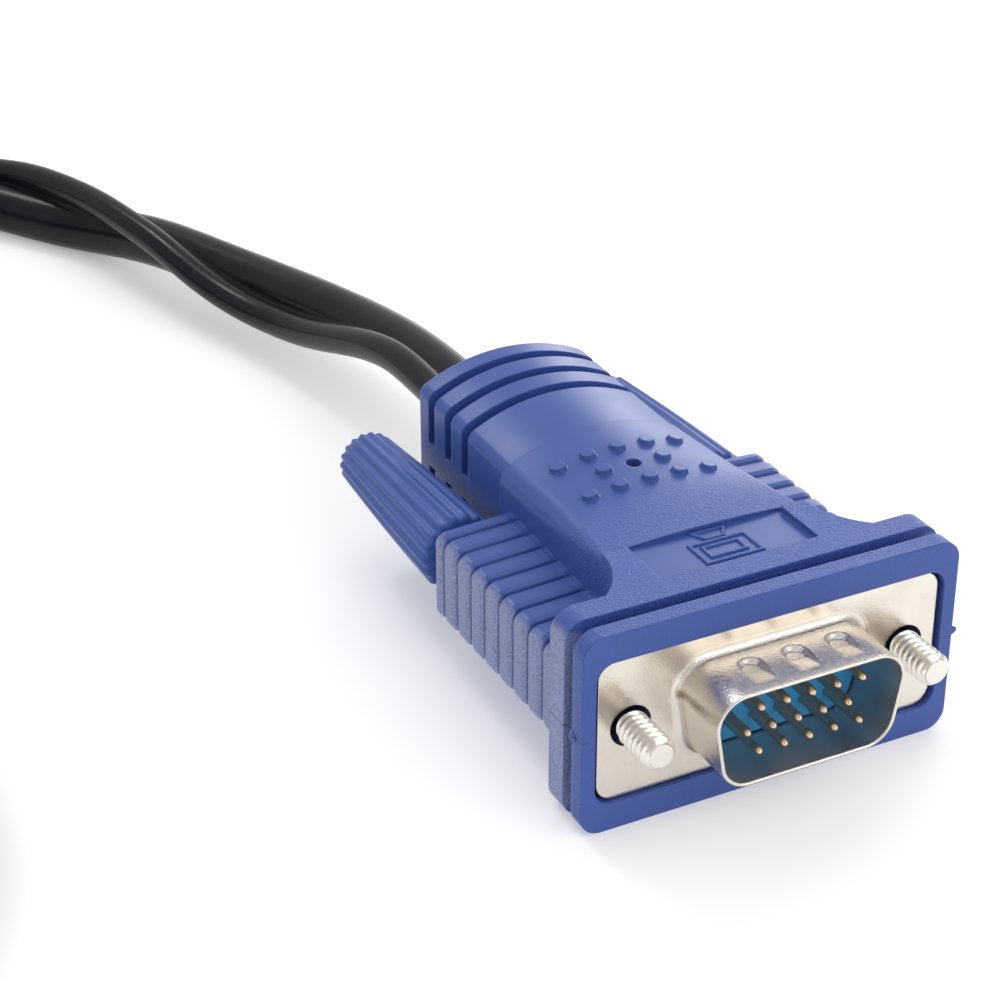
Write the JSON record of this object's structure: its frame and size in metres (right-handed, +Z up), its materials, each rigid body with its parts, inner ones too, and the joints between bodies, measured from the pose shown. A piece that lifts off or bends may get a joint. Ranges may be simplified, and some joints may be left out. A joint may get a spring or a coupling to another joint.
{
  "type": "kvm cable",
  "caption": "Computer switch cable with a moulded blue D-shaped video plug, fluted thumbscrews and a joined pair of black leads",
  "frame": {"origin": "on the table, under the middle of the plug's box without the cable", "axes": "+Y from the mating face towards the cable, +Z up, +X to the right when looking along +Y"},
  "size_m": [0.1589, 0.1708, 0.03],
  "materials": {
    "hood": "fine moulded grain",
    "knob": "satin",
    "shell": "nickel plated",
    "screw": "nickel plated",
    "insulator": "satin",
    "contact": "gold flash",
    "core": "plain",
    "cable": "satin",
    "tie": "satin"
  },
  "bodies": {
    "cable_and_plugs": {"hood": "hood", "far_hood": "hood", "front_shell": "shell", "rear_shell": "shell", "far_front_shell": "shell", "insulator": "insulator", "far_insulator": "insulator", "contact_01": "contact", "contact_02": "contact", "contact_03": "contact", "contact_04": "contact", "contact_05": "contact", "contact_06": "contact", "contact_07": "contact", "contact_08": "contact", "contact_09": "contact", "contact_10": "contact", "contact_11": "contact", "contact_12": "contact", "contact_13": "contact", "contact_14": "contact", "contact_15": "contact", "far_contacts": "contact", "inner_mould": "core", "cable_run": "cable", "cable_hank": "cable", "cable_end": "cable", "cable_tie": "tie"},
    "thumbscrew_left": {"knob_left": "knob", "screw_left": "screw"},
    "thumbscrew_right": {"knob_right": "knob", "screw_right": "screw"},
    "far_thumbscrew_left": {"far_knob_left": "knob", "far_screw_left": "screw"},
    "far_thumbscrew_right": {"far_knob_right": "knob", "far_screw_right": "screw"}
  },
  "joints": [
    {"name": "thumbscrew_left_turn", "type": "hinge", "parent": "cable_and_plugs", "child": "thumbscrew_left", "pos_m": [-0.01249, -0.02125, 0.00885], "axis": [0, 1, 0], "continuous": true},
    {"name": "thumbscrew_right_turn", "type": "hinge", "parent": "cable_and_plugs", "child": "thumbscrew_right", "pos_m": [0.01249, -0.02125, 0.00885], "axis": [0, 1, 0], "continuous": true},
    {"name": "far_thumbscrew_left_turn", "type": "hinge", "parent": "cable_and_plugs", "child": "far_thumbscrew_left", "pos_m": [-0.1375, 0.01475, 0.02025], "axis": [0, 1, 0], "continuous": true},
    {"name": "far_thumbscrew_right_turn", "type": "hinge", "parent": "cable_and_plugs", "child": "far_thumbscrew_right", "pos_m": [-0.1125, 0.01475, 0.02025], "axis": [0, 1, 0], "continuous": true}
  ]
}
